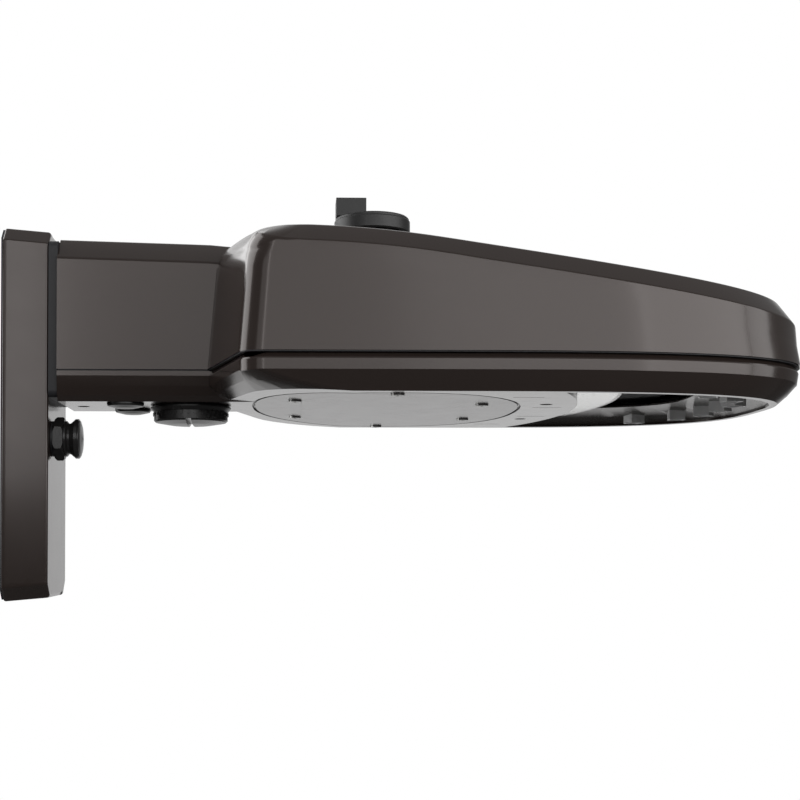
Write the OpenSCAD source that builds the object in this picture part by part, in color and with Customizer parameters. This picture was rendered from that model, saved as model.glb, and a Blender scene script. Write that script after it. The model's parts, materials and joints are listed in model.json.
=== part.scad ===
// Wall pack light on an arm: a cast lamp head held off the wall by a deep hollow arm and a wall plate.
// Millimetres. X runs out from the wall, Y is sideways and Z is up. X 0 is the wall, Y 0 and Z 0 are the
// middle of the wall plate.

/* [Wall plate] */
// width of the wall plate
plate_width = 80; // [74:1:100]
// height of the wall plate
plate_height = 269; // [240:1:320]
// how far the wall plate stands off the wall
plate_depth = 34.5; // [28:0.5:50]
// thickness of the wall plate's casting
plate_wall = 4; // [3:0.5:6]
// rounding of the wall plate's upright edges
plate_corner = 6; // [4:0.5:14]
// rounding of the wall plate's front edge at top and bottom
plate_nose = 6; // [4:0.5:14]
// slope of the wall plate's top and bottom, in degrees
plate_draft = 3; // [0:0.5:5]

/* [Wall fixing] */
// thickness of the gasket on the wall
gasket_thickness = 1.5; // [1:0.5:3]
// thickness of the steel back plate
back_plate_thickness = 4; // [3:0.5:6]
// sideways distance of the anchor holes
anchor_spacing_y = 44; // [36:1:50]
// upright distance of the anchor holes
anchor_spacing_z = 210; // [180:1:220]
// diameter of the anchor holes
anchor_hole = 9; // [6.5:0.5:11]
// diameter of the supply wire hole in the back plate and the gasket
supply_hole = 28; // [20:1:36]

/* [Arm] */
// half the width of the arm
arm_half = 44; // [38:1:48]
// top of the arm at the wall plate
arm_top = 128; // [118:1:132]
// how far the arm's top falls along its length
arm_fall = 3; // [0:0.5:8]
// size of the bevel along the arm's upper edges
arm_bevel = 16; // [4:1:18]
// underside of the arm
arm_bottom = 8.8; // [6.5:0.1:12]
// thickness of the dark packing between wall plate and arm
neck_thickness = 6.5; // [4:0.5:10]
// diameter of the bolts that hold the arm
arm_bolt = 8; // [6:1:10]

/* [Lamp head] */
// where the arm ends and the slanted shoulders begin
shoulder_x = 149; // [142:1:160]
// rear corners of the head
rear_corner_x = 178; // [170:1:190]
// half the width of the head
head_half = 150; // [135:1:165]
// where the rounded nose begins
nose_start_x = 330; // [300:1:360]
// tip of the nose
nose_tip_x = 579; // [560:1:600]
// how square the nose is, 2 being an ellipse
nose_power = 3; // [2.4:0.1:4]
// height of the seam between the two castings
seam_z = 31; // [28:0.5:36]
// underside of the head
head_bottom = 5.5; // [3:0.5:8]
// height of the top edge over the shoulders
crest_z = 115.3; // [110:0.1:118]
// slope of the top towards the nose
top_slope = 0.148; // [0.08:0.004:0.156]
// arching of the top across its width
crown = 8; // [6:1:14]
// height of the bevel band round the top
band_height = 11; // [6:1:14]
// thickness of the castings
casting_wall = 3.5; // [3:0.25:5]
// thickness of the seal in the seam
seal_thickness = 1; // [0.5:0.25:2]

/* [Service door] */
// middle of the door
door_x = 279; // [270:1:284]
// half the length of the door
door_half_length = 97; // [85:1:100]
// half the width of the door
door_half_width = 132; // [118:1:134]
// gap round the door
door_gap = 2; // [1:0.5:3]
// thickness of the door
door_thickness = 3; // [2:0.5:3]
// diameter of the door screws' heads
door_screw_head = 9; // [7:0.5:11]

/* [Lamp opening] */
// width of the flat rim round the opening
rim_width = 8; // [5:1:10]
// width of the sloping deck that carries the optics
deck_width = 52; // [44:1:56]
// rise of the deck from the rim inwards
deck_rise = 12; // [10:0.5:14]
// radius of the curved front wall of the driver room
arc_radius = 350; // [300:10:420]
// front of the curved wall on the middle line
arc_front_x = 418; // [410:1:424]
// side of a reflector cup
cup_side = 13; // [10:0.5:15]
// depth of a reflector cup
cup_depth = 12; // [11:0.5:14]
// half the length of the bright strip
strip_half = 104; // [60:2:106]
// spacing of the cooling fins
fin_pitch = 6; // [5:0.5:9]
// thickness of a cooling fin
fin_thickness = 2; // [1.5:0.25:3]

/* [Photocontrol] */
// distance of the photocontrol's axis from the wall
control_x = 270; // [255:1:300]
// radius of the photocontrol's disc
control_radius = 28.5; // [26:0.5:34]
// thickness of the photocontrol's disc
control_thickness = 12; // [9:0.5:16]
// top of the disc
control_top = 151; // [148:0.5:160]
// height of the upright block on the disc
block_height = 13.5; // [8:0.5:20]
// width of the upright block
block_width = 22.5; // [16:0.5:26]

/* [Plugs under the arm] */
// distance of the slotted plug from the wall
plug_x = 134; // [124:1:137]
// radius of the slotted plug's flange
plug_flange_radius = 30; // [28:0.5:31]
// radius of the slotted plug's body
plug_radius = 27.5; // [20:0.5:27.5]
// how far the slotted plug stands below the arm
plug_drop = 12; // [8:0.5:16]
// distance of the two small plugs from the wall
small_plug_x = 88; // [76:1:90]
// sideways place of the two small plugs
small_plug_y = 24; // [17:1:24]
// radius of a small plug
small_plug_radius = 13.5; // [9:0.5:13.5]

/* [Photo eye on the wall plate] */
// sideways place of the photo eye
eye_y = -20; // [-24:1:24]
// height of the photo eye
eye_z = -17; // [-40:1:-16]
// radius of the photo eye's cap
eye_radius = 14.5; // [10:0.5:16]

/* [Hidden] */
$fn = 48;
arc_steps = 6;
arc_facets = 240;
nose_steps = 12;
fit_gap = 0.3;
screw_gap = 0.25;
tiny = 0.01;
neck_x = plate_depth + neck_thickness;
rear_room = nose_start_x - shoulder_x;
front_room = nose_tip_x - nose_start_x;
seam_bottom = seam_z - seal_thickness / 2;
seam_top = seam_z + seal_thickness / 2;
slope_start_x = 200;
slope_full_x = 310;
roll_start_x = 212;
roll_radius = 33;
roll_power = 3.6;
rear_lean = 8;
nose_drop = 0.4;
arm_blend = 0.06;
bottom_tip_x = nose_tip_x - 14;
bottom_half = head_half - 5;
bottom_rear_x = shoulder_x + 16.4;
bottom_corner_x = rear_corner_x + 16.5;
bottom_corner_radius = 65;
skirt_turn_z = head_bottom + 15;
rise_start_x = 250;
rear_rise = 0.05;
arc_centre_x = arc_front_x - arc_radius;
ledge_height = door_thickness + 1.5;
ledge_thickness = 3;
door_recess = 1.2;
pad_top = control_top - control_thickness - 12;
deck_low = head_bottom + 2;
deck_thickness = 2;
deck_bend = 16;
deck_bend_share = 0.55;
strip_z = head_bottom + 6.5;
strip_thickness = 1.6;
strip_front_radius = arc_radius + 31;
strip_notch = 2.5;
cup_rim_z = head_bottom + 4.2;
board_z = cup_rim_z + cup_depth;
board_thickness = 1.6;
deck_top = deck_low + deck_rise + deck_thickness;
ledge_width = 14;
lug_radius = 14;
door_screw_places = [[212, 64], [280, 125.5], [345, 58]];
frame_screw_places = [[391, 58, head_bottom], [391, -58, head_bottom], [54, 0, arm_bottom]];
drain_slots = [[360, 106], [385, 35]];
tray_post_x = [225, 365];
tray_post_y = 60;
tray_z = 62;
wire_radius = 1.6;
terminal_y = 40;
terminal_step = 11;
driver_screw_x = [217, 369];
driver_screw_y = [-32, 8];
arm_bolt_places = [[28, 46], [28, 104], [-28, 46], [-28, 104]];
ground_place = [75, arm_half - 10, 80];
wire_hole_z = (arm_top + seam_z) / 2 - 22;
// sideways place of each optic on one side, and its distance in from the bottom outline
optic_places = [[0, 33], [38, 32], [72, 29], [104, 20]];

// Point between a and b.
function mix(a, b, t) = a + (b - a) * t;

// Points of a rounding of radius r at corner c, between the directions of points a and b.
function rounding(a, c, b, r, steps) =
    let (u = (a - c) / norm(a - c), v = (b - c) / norm(b - c), half_angle = acos(u * v) / 2,
        centre = c + (u + v) / norm(u + v) * r / sin(half_angle),
        first = c + u * r / tan(half_angle) - centre, last = c + v * r / tan(half_angle) - centre,
        start = atan2(first[1], first[0]),
        turn = (atan2(last[1], last[0]) - start + 900) % 360 - 180)
    [for (i = [0:steps]) centre + r * [cos(start + turn * i / steps), sin(start + turn * i / steps)]];

// One half of the head's outline, from the middle of its rear to the tip of its nose.
function half_outline(rear_x, corner, corner_radius, tip_x, half) =
    let (side = [nose_start_x, half], shoulder = [rear_x, arm_half],
        bend = rounding(shoulder, corner, side, corner_radius, arc_steps), last = bend[arc_steps])
    concat([[rear_x, 0], [rear_x, arm_half / 2], shoulder, mix(shoulder, bend[0], 0.5)], bend,
        [for (i = [1:3]) mix(last, side, i / 4)],
        [for (i = [0:nose_steps]) let (angle = 90 - 90 * i / nose_steps)
            [nose_start_x + (tip_x - nose_start_x) * pow(cos(angle), 2 / nose_power),
                half * pow(sin(angle), 2 / nose_power)]]);

// A half outline and its mirror image as one closed outline.
function both_halves(points) =
    concat(points, [for (i = [len(points) - 2:-1:1]) [points[i][0], -points[i][1]]]);

seam_outline = both_halves(half_outline(shoulder_x, [rear_corner_x, head_half - 1], 9,
    nose_tip_x, head_half));
bottom_outline = both_halves(half_outline(bottom_rear_x, [bottom_corner_x, bottom_half],
    bottom_corner_radius, bottom_tip_x, bottom_half));

// An outline drawn in by a distance, by a further distance at the rear, and by a lean that is largest in
// the middle of the rear.
function drawn_in(points, distance, rear_extra = 0, lean = 0) =
    [for (p = points)
        [p[0] > nose_start_x ? nose_start_x + (p[0] - nose_start_x) * (1 - distance / front_room)
            : nose_start_x + (p[0] - nose_start_x) * (1 - (distance + rear_extra) / rear_room)
                + lean * (1 - abs(p[1]) / head_half),
            p[1] * (1 - distance / head_half)]];

// Height of the head's top over a point: level, then sloping to the nose, rolled off at the rear
// corners and arched across.
function top_height(x, y) =
    let (bend = top_slope / 2 / (slope_full_x - slope_start_x), side = pow(y / head_half, 2),
        fall = x < slope_start_x ? 0 : x < slope_full_x ? bend * pow(x - slope_start_x, 2)
            : top_slope * (x - (slope_start_x + slope_full_x) / 2),
        roll = x < roll_start_x ? pow(roll_start_x - x, 2) / 2 / roll_radius : 0)
    crest_z - fall + crown * (1 - side) - roll * pow(side, roll_power);

// A ring of points on the head's outside: drawn in from the seam and lowered below the top's height, a
// little more round the nose.
function top_ring(distance, drop, inner = 0) =
    [for (p = drawn_in(seam_outline, distance + inner, min(12, max(0, distance - 3)),
            rear_lean * min(1, distance / 3)))
        let (share = p[0] > nose_start_x ? 1 + nose_drop * (1 - pow(p[1] / head_half, 2)) : 1)
            [p[0], p[1], top_height(p[0], p[1]) - drop * share - inner]];

// A ring of points at a stated height.
function level_ring(points, height) = [for (p = points) [p[0], p[1], height]];

// A closed solid through a stack of rings with the same number of points.
module skin(rings, first_centre, last_centre) {
    n = len(rings[0]);
    m = len(rings);
    polyhedron(concat([for (ring = rings) each ring], [first_centre, last_centre]),
        concat(
            [for (k = [0:m - 2], i = [0:n - 1]) [k * n + i, (k + 1) * n + (i + 1) % n, (k + 1) * n + i]],
            [for (k = [0:m - 2], i = [0:n - 1])
                [k * n + i, k * n + (i + 1) % n, (k + 1) * n + (i + 1) % n]],
            [for (i = [0:n - 1]) [m * n, (i + 1) % n, i]],
            [for (i = [0:n - 1]) [m * n + 1, (m - 1) * n + i, (m - 1) * n + (i + 1) % n]]),
        convexity = 6);
}

// The head above the seam, smaller by the stated wall and starting at the stated height.
module head_body(wall, start) {
    middle = [for (p = top_ring(1.5, band_height * 1.16, wall)) [p[0], p[1], mix(start, p[2], 0.5)]];
    skin([
        level_ring(drawn_in(seam_outline, wall), start),
        middle,
        top_ring(2.9, band_height * 1.16, wall),
        top_ring(3.9, band_height * 0.91, wall),
        top_ring(13.6, band_height * 0.1, wall),
        top_ring(17, 0, wall),
        top_ring(50, 0, wall),
        top_ring(90, 0, wall),
        top_ring(120, 0, wall)
    ], [nose_start_x, 0, start], [nose_start_x, 0, top_height(nose_start_x, 0) - wall]);
}

// The arm above the seam between two distances from the wall, smaller by the stated wall.
module arm_body(wall, start_x, end_x, start) {
    function section(x) =
        let (half = arm_half - wall, past = max(0, x - shoulder_x),
            fall = arm_fall * (x - neck_x) / (shoulder_x - neck_x) + arm_blend * past,
            top = arm_top - wall - fall, bevel = arm_bevel - wall * 0.4)
        [[x, -half, start], [x, -half, top - bevel], [x, bevel - half, top], [x, half - bevel, top],
            [x, half, top - bevel], [x, half, start]];
    skin([section(start_x), section(shoulder_x), section(end_x)], [start_x, 0, (start + arm_top) / 2],
        [end_x, 0, (start + arm_top) / 2]);
}

// Height of the underside at a distance from the wall: level, and rising towards the rear.
function floor_z(x) = head_bottom + rear_rise * max(0, rise_start_x - x);

// Layer between two heights above the underside, following its rise.
module floor_slab(low, high) {
    translate([0, head_half + 10, 0])
        rotate([90, 0, 0])
            linear_extrude(2 * head_half + 20)
                polygon([[neck_x, floor_z(neck_x) + low], [rise_start_x, head_bottom + low],
                    [nose_tip_x + 10, head_bottom + low], [nose_tip_x + 10, head_bottom + high],
                    [rise_start_x, head_bottom + high], [neck_x, floor_z(neck_x) + high]]);
}

// The head's skirt below the seam: upright at first, then turning in to the bottom outline. It is built a
// little too deep and cut off at the underside.
module skirt_body() {
    low_z = head_bottom - 6;
    function ring(share, down) =
        [for (i = [0:len(seam_outline) - 1]) let (p = mix(seam_outline[i], bottom_outline[i], share))
            [p[0], p[1], mix(skirt_turn_z, floor_z(p[0]), down)]];
    difference() {
        skin([
            level_ring(ring(1.09, 1), low_z),
            ring(1.09, 1.067),
            ring(0.4, 0.55),
            ring(0, 0),
            level_ring(seam_outline, seam_bottom)
        ], [nose_start_x, 0, low_z], [nose_start_x, 0, seam_bottom]);
        floor_slab(-30, 0);
    }
}

// The room inside the skirt: a wider part near the seam and a narrower one down to the floor.
module skirt_room() {
    translate([0, 0, skirt_turn_z])
        linear_extrude(40)
            polygon(drawn_in(seam_outline, casting_wall));
    intersection() {
        linear_extrude(60)
            polygon(drawn_in(bottom_outline, casting_wall));
        floor_slab(casting_wall, 40);
    }
}

// The arm's skirt below the seam.
module arm_skirt() {
    turn = arm_bottom + 11;
    section = [[-arm_half, seam_bottom], [-arm_half, turn], [2 - arm_half, mix(turn, arm_bottom, 0.6)],
        [6 - arm_half, arm_bottom], [arm_half - 6, arm_bottom], [arm_half - 2, mix(turn, arm_bottom, 0.6)],
        [arm_half, turn], [arm_half, seam_bottom]];
    translate([neck_x, 0, 0])
        rotate([90, 0, 90])
            linear_extrude(shoulder_x + 38 - neck_x)
                polygon(section);
}

// Cylinder lying along X.
module along_x(radius, x, length) {
    translate([x, 0, 0])
        rotate([0, 90, 0])
            cylinder(r = radius, h = length);
}

// Flat shape with four rounded corners, its middle at the origin.
module rounded_square(width, height, radius) {
    square([width - 2 * radius, height], center = true);
    square([width, height - 2 * radius], center = true);
    for (sx = [-1, 1], sy = [-1, 1])
        translate([sx * (width / 2 - radius), sy * (height / 2 - radius)])
            circle(r = radius);
}

// Copies mirrored to the other side.
module both_sides() {
    children();
    mirror([0, 1, 0])
        children();
}

// Outline of the door, grown by a distance.
module door_outline(grown) {
    polygon([for (i = [0:47]) let (angle = i * 7.5, power = 2 / 2.4)
        [door_x + (door_half_length + grown) * sign(cos(angle)) * pow(abs(cos(angle)), power),
            (door_half_width + grown) * sign(sin(angle)) * pow(abs(sin(angle)), power)]]);
}

// Region of the lamp opening, inside the bottom outline and in front of the curved wall.
module opening_outline(inset) {
    difference() {
        polygon(drawn_in(bottom_outline, inset));
        translate([arc_centre_x, 0])
            circle(r = arc_radius, $fn = arc_facets);
    }
}

// Place of an optic on the outline drawn in by its distance, with the turn that faces it outwards.
function optic_place(y, inset) =
    let (half = bottom_half * (1 - inset / head_half),
        reach = (bottom_tip_x - nose_start_x) * (1 - inset / front_room),
        along = pow(1 - pow(y / half, nose_power), 1 / nose_power),
        slope = pow(y / half, nose_power - 1) * reach / pow(along, nose_power - 1) / half)
    [nose_start_x + reach * along, y, atan(slope)];

// Children stand at every optic at a stated height, turned to face outwards.
module at_optics(height) {
    for (optic = optic_places) {
        place = optic_place(optic[0], optic[1]);
        for (side = optic[0] > 0 ? [-1, 1] : [1])
            translate([place[0], side * place[1], height])
                rotate([0, 0, side * place[2]])
                    children();
    }
}

// Countersunk or pan screw pointing up, head below.
module screw_up(head_radius, head_height, shank_radius, length) {
    difference() {
        cylinder(r = head_radius, h = head_height);
        for (turn = [0, 90])
            rotate([0, 0, turn])
                translate([-head_radius * 0.55, -0.6, -tiny])
                    cube([head_radius * 1.1, 1.2, head_height * 0.5]);
    }
    translate([0, 0, head_height])
        cylinder(r = shank_radius, h = length);
}

module wall_gasket() {
    color("dimgray")
        rotate([90, 0, 90])
            linear_extrude(gasket_thickness)
                difference() {
                    rounded_square(plate_width - 4, plate_height - 4, plate_corner - 2);
                    anchor_outline(anchor_hole / 2);
                    circle(d = supply_hole);
                }
}

// The four anchor holes.
module anchor_outline(radius) {
    for (sy = [-1, 1], sz = [-1, 1])
        translate([sy * anchor_spacing_y / 2, sz * anchor_spacing_z / 2])
            circle(r = radius);
}

// Steel plate on the wall, with two bent ears that the cover is screwed to.
module back_plate() {
    ear = 14;
    height = plate_height - 2 * plate_wall - 6;
    color("silver") {
        translate([gasket_thickness, 0, 0])
            rotate([90, 0, 90])
                linear_extrude(back_plate_thickness)
                    difference() {
                        rounded_square(plate_width - 2 * plate_wall - 2, height, 4);
                        anchor_outline(anchor_hole / 2);
                        circle(d = supply_hole);
                    }
        for (side = [-1, 1])
            difference() {
                translate([gasket_thickness, -12, side * (height / 2 - 1) - 1])
                    cube([ear + 6, 24, 2]);
                translate([gasket_thickness + ear, 0, side * (height / 2 - 1)])
                    cylinder(r = 2 - fit_gap / 2, h = 4, center = true);
            }
    }
}

// Side profile of the wall plate, with its slopes and its rounded front edges.
function plate_profile(wall) =
    let (depth = plate_depth - wall, half = plate_height / 2 - wall, nose = max(1, plate_nose - wall),
        front = half - depth * tan(plate_draft))
    concat([[gasket_thickness, -half], [gasket_thickness, half]],
        rounding([gasket_thickness, half], [depth, front], [depth, 0], nose, arc_steps),
        rounding([depth, 0], [depth, -front], [gasket_thickness, -half], nose, arc_steps));

module plate_block(wall) {
    intersection() {
        translate([0, (plate_width + 2) / 2, 0])
            rotate([90, 0, 0])
                linear_extrude(plate_width + 2)
                    polygon(plate_profile(wall));
        rotate([90, 0, 90])
            linear_extrude(plate_depth)
                rounded_square(plate_width - 2 * wall, plate_height - 2 * wall,
                    max(1, plate_corner - wall));
    }
}

// Cast cover on the back plate that carries the arm.
module wall_plate() {
    height = plate_height - 2 * plate_wall - 6;
    color([0.2, 0.17, 0.16])
        difference() {
            union() {
                difference() {
                    plate_block(0);
                    translate([-tiny, 0, 0])
                        plate_block(plate_wall);
                }
                for (place = arm_bolt_places)
                    translate([0, place[0], place[1]])
                        along_x(9, plate_depth - plate_wall - 8, 9);
                translate([0, eye_y, eye_z])
                    along_x(13, plate_depth - plate_wall - 3, 4);
                for (side = [-1, 1])
                    translate([gasket_thickness + 14, 0, side * (height / 2 + 3.5)])
                        cylinder(r = 7, h = 6, center = true);
            }
            for (place = arm_bolt_places)
                translate([0, place[0], place[1]])
                    along_x(arm_bolt / 2 + fit_gap, 0, plate_depth + 1);
            translate([0, eye_y, eye_z])
                along_x(8, 0, plate_depth + 1);
            translate([0, 0, wire_hole_z])
                along_x(supply_hole / 2, 10, plate_depth);
            for (side = [-1, 1])
                translate([gasket_thickness + 14, 0, side * (height / 2 + 6)])
                    cylinder(r = 2 + fit_gap, h = 20, center = true);
            for (side = [-1, 1])
                translate([gasket_thickness + 14, 0, side * (plate_height / 2 + 2.5)])
                    cylinder(r = 4.5, h = 12, center = true);
        }
}

// Two screws that hold the cover to the back plate's ears, from above and below.
module cover_screws() {
    color("gray")
        for (side = [-1, 1])
            translate([gasket_thickness + 14, 0, side * (plate_height / 2 - 3 - screw_gap)])
                rotate([side > 0 ? 180 : 0, 0, 0])
                    translate([0, 0, -2.4])
                        screw_up(4, 2.4, 2 - fit_gap / 2, 13);
}

module at_eye() {
    translate([plate_depth, eye_y, eye_z])
        rotate([0, 90, 0])
            children();
}

// Rubber washer under the photo eye.
module eye_washer() {
    color("black")
        at_eye()
            difference() {
                cylinder(r = 13, h = 2);
                translate([0, 0, -tiny])
                    cylinder(r = 7.6, h = 3);
            }
}

// Lock nut of the photo eye, one corner up.
module eye_nut() {
    color("black")
        at_eye()
            translate([0, 0, 2])
                difference() {
                    intersection() {
                        cylinder(r = eye_radius + 1.5, h = 7.2, $fn = 6);
                        cylinder(r1 = eye_radius, r2 = eye_radius + 7.2, h = 7.2);
                        cylinder(r1 = eye_radius + 7.2, r2 = eye_radius, h = 7.2);
                    }
                    translate([0, 0, -tiny])
                        cylinder(r = 7.6, h = 8);
                }
}

// Turned body of the photo eye: threaded stem through the wall plate, waist and flared collar.
module eye_body() {
    color("black")
        at_eye()
            rotate_extrude()
                polygon([[0, -plate_wall - 6], [7.3, -plate_wall - 6], [7.3, 9.4], [eye_radius - 1.5, 9.4],
                    [eye_radius - 1.5, 10.8], [eye_radius - 3.2, 12], [eye_radius - 3.2, 13.4],
                    [eye_radius - 0.8, 16.2], [eye_radius, 17], [eye_radius, 19.2],
                    [eye_radius - 0.4, 19.6], [0, 19.6]]);
}

// Shallow cone that the photo eye sees through.
module eye_lens() {
    color([0.12, 0.11, 0.11])
        at_eye()
            rotate_extrude()
                polygon([[0, 19.6], [eye_radius - 1, 19.6], [eye_radius - 1.2, 20.2], [eye_radius - 4, 21.1],
                    [1.2, 22.3], [0, 22.5]]);
}

// Dark packing between the wall plate and the arm.
module neck_packing() {
    inset = 3;
    height = arm_top - arm_bottom - 2 * inset;
    color([0.08, 0.08, 0.08])
        translate([plate_depth, 0, arm_bottom + inset + height / 2])
            rotate([90, 0, 90])
                linear_extrude(neck_thickness)
                    difference() {
                        rounded_square(2 * (arm_half - inset), height, 5);
                        for (place = arm_bolt_places)
                            translate([place[0], place[1] - arm_bottom - inset - height / 2])
                                circle(r = arm_bolt / 2 + fit_gap);
                        translate([0, wire_hole_z - arm_bottom - inset - height / 2])
                            circle(d = supply_hole);
                    }
}

// Hexagon bolts from inside the wall plate into the arm.
module arm_bolts() {
    start = plate_depth - plate_wall - 8;
    color("silver")
        for (place = arm_bolt_places)
            translate([0, place[0], place[1]]) {
                translate([start - 5.3, 0, 0])
                    rotate([0, 90, 0])
                        cylinder(r = arm_bolt * 0.93, h = 5.3, $fn = 6);
                along_x(arm_bolt / 2, start - tiny, neck_x + 16 - start);
            }
}

// Upper casting: hollow arm and hollow head in one piece, open below.
module upper_housing() {
    color([0.2, 0.17, 0.16])
        difference() {
            union() {
                difference() {
                    union() {
                        head_body(0, seam_top);
                        arm_body(0, neck_x, shoulder_x + 40, seam_top);
                        translate([control_x, 0, pad_top - 30])
                            cylinder(r1 = control_radius + 8, r2 = control_radius + 4, h = 30);
                    }
                    head_body(casting_wall, seam_top - tiny);
                    arm_body(casting_wall, neck_x + 8, shoulder_x + 44, seam_top - 2 * tiny);
                }
                intersection() {
                    union() {
                        head_body(1, seam_top);
                        arm_body(1, neck_x, shoulder_x + 30, seam_top);
                    }
                    union() {
                        for (place = frame_screw_places)
                            translate([place[0], place[1], seam_top])
                                cylinder(r = 4.5, h = arm_top);
                        both_sides()
                            for (x = tray_post_x)
                                translate([x, tray_post_y, tray_z + 2])
                                    cylinder(r = 5, h = arm_top);
                        translate([control_x, 0, pad_top - 34])
                            cylinder(r = control_radius + 6, h = 34);
                    }
                }
                for (place = arm_bolt_places)
                    translate([0, place[0], place[1]])
                        along_x(9, neck_x, 20);
                translate(ground_place)
                    rotate([-90, 0, 0])
                        cylinder(r = 6, h = 8);
            }
            for (place = arm_bolt_places)
                translate([0, place[0], place[1]])
                    along_x(arm_bolt / 2 + fit_gap / 2, neck_x - 1, 18);
            translate([0, 0, wire_hole_z])
                along_x(supply_hole / 2, neck_x - 1, 10);
            for (place = frame_screw_places)
                translate([place[0], place[1], seam_top - 1])
                    cylinder(r = 2, h = 16);
            both_sides()
                for (x = tray_post_x)
                    translate([x, tray_post_y, tray_z + 1])
                        cylinder(r = 2, h = 12);
            translate([control_x, 0, pad_top - 40])
                cylinder(r = 20, h = 60);
            translate(ground_place)
                rotate([-90, 0, 0])
                    translate([0, 0, -1])
                        cylinder(r = 2.5, h = 8);
        }
}

// Lower casting: skirt, floor, door seat and the rim of the lamp opening.
module lower_frame() {
    color([0.14, 0.12, 0.11])
        difference() {
            union() {
                difference() {
                    union() {
                        skirt_body();
                        arm_skirt();
                    }
                    skirt_room();
                    translate([neck_x + casting_wall, 6 + casting_wall - arm_half,
                        arm_bottom + casting_wall])
                        cube([shoulder_x + 40 - neck_x, 2 * (arm_half - 6 - casting_wall), 40]);
                }
                intersection() {
                    linear_extrude(seam_bottom - tiny)
                        polygon(drawn_in(bottom_outline, 1));
                    floor_slab(tiny, 40);
                    union() {
                        intersection() {
                            linear_extrude(40)
                                door_outline(door_gap + 5);
                            floor_slab(0, ledge_height + ledge_thickness);
                        }
                        translate([arc_centre_x, 0, head_bottom + tiny])
                            difference() {
                                cylinder(r = arc_radius - 0.5, h = seam_bottom - head_bottom - 1,
                                    $fn = arc_facets);
                                translate([0, 0, -1])
                                    cylinder(r = arc_radius - 0.5 - casting_wall, h = 40,
                                        $fn = arc_facets);
                                translate([-arc_radius, -arc_radius, -1])
                                    cube([arc_radius + 100, 2 * arc_radius, 40]);
                            }
                    }
                }
                for (place = frame_screw_places)
                    translate([place[0], place[1], place[2] + tiny])
                        cylinder(r = 5.5, h = seam_bottom - place[2] - 2 * tiny);
                translate([plug_x, 0, arm_bottom + tiny])
                    cylinder(r = plug_radius + 4, h = 9);
                for (sy = [-1, 1])
                    translate([small_plug_x, sy * small_plug_y, arm_bottom + tiny])
                        cylinder(r = small_plug_radius, h = 6);
            }
            intersection() {
                linear_extrude(40)
                    door_outline(door_gap);
                floor_slab(-4, ledge_height);
            }
            translate([0, 0, head_bottom])
                linear_extrude(40)
                    difference() {
                        door_outline(-ledge_width);
                        for (place = door_screw_places, side = [-1, 1])
                            translate([place[0], side * place[1]])
                                circle(r = lug_radius);
                    }
            translate([0, 0, head_bottom - 1])
                linear_extrude(6)
                    opening_outline(rim_width);
            for (place = door_screw_places)
                both_sides()
                    translate([place[0], place[1], head_bottom])
                        cylinder(r = 2, h = 24);
            for (place = frame_screw_places)
                translate([place[0], place[1], place[2] - 1]) {
                    cylinder(r = 2 + fit_gap, h = 40);
                    cylinder(r = 4.5, h = 4.5);
                }
            translate([plug_x, 0, -5])
                cylinder(r = plug_radius - 3, h = 40);
            for (sy = [-1, 1])
                translate([small_plug_x, sy * small_plug_y, 0])
                    cylinder(r = small_plug_radius - 3, h = 30);
            for (place = drain_slots)
                both_sides()
                    translate([place[0], place[1] - 0.75, head_bottom - 1])
                        cube([21, 1.5, 10]);
        }
}

// Soft seal in the seam, set back so that a groove shows.
module housing_seal() {
    color([0.05, 0.05, 0.05])
        translate([0, 0, seam_bottom])
            linear_extrude(seal_thickness)
                difference() {
                    union() {
                        polygon(drawn_in(seam_outline, 0.8));
                        translate([neck_x + 0.8, -arm_half + 0.8])
                            square([shoulder_x + 30 - neck_x, 2 * arm_half - 1.6]);
                    }
                    polygon(drawn_in(seam_outline, casting_wall));
                    translate([neck_x + casting_wall, -arm_half + casting_wall])
                        square([shoulder_x + 60 - neck_x, 2 * (arm_half - casting_wall)]);
                }
}

module frame_screws() {
    color("silver")
        for (place = frame_screw_places)
            translate([place[0], place[1], place[2] + 0.7])
                screw_up(4, 2.8, 2 - fit_gap / 2, 34);
}

// Flat service door with a turned-in lip.
module service_door() {
    color([0.55, 0.53, 0.51])
        difference() {
            intersection() {
                linear_extrude(40)
                    door_outline(0);
                floor_slab(0, door_thickness);
            }
            for (place = door_screw_places)
                both_sides()
                    translate([place[0], place[1], floor_z(place[0]) - 1]) {
                        cylinder(r = 2 + fit_gap, h = 20);
                        cylinder(r = door_screw_head / 2 + 0.4, h = 1 + door_recess);
                    }
        }
}

module door_gasket() {
    color([0.05, 0.05, 0.05])
        intersection() {
            linear_extrude(40)
                difference() {
                    door_outline(-1.5);
                    door_outline(1 - ledge_width);
                    for (place = door_screw_places, sy = [-1, 1])
                        translate([place[0], sy * place[1]])
                            circle(r = 2 + fit_gap);
                }
            floor_slab(door_thickness, ledge_height);
        }
}

module door_screws() {
    color("gray")
        for (place = door_screw_places)
            both_sides()
                translate([place[0], place[1], floor_z(place[0]) + door_recess - 2.5])
                    screw_up(door_screw_head / 2, 2.5, 2 - fit_gap / 2, 9);
}

// Bent sheet tray that carries the electrical parts below the upper housing.
module gear_tray() {
    color("silver")
        difference() {
            union() {
                translate([205, -78, tray_z])
                    cube([175, 156, 2]);
                for (y = [-78, 76])
                    translate([205, y, tray_z - 10])
                        cube([175, 2, 12]);
            }
            both_sides()
                for (x = tray_post_x)
                    translate([x, tray_post_y, tray_z - 2])
                        cylinder(r = 2 + fit_gap, h = 8);
        }
}

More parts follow.
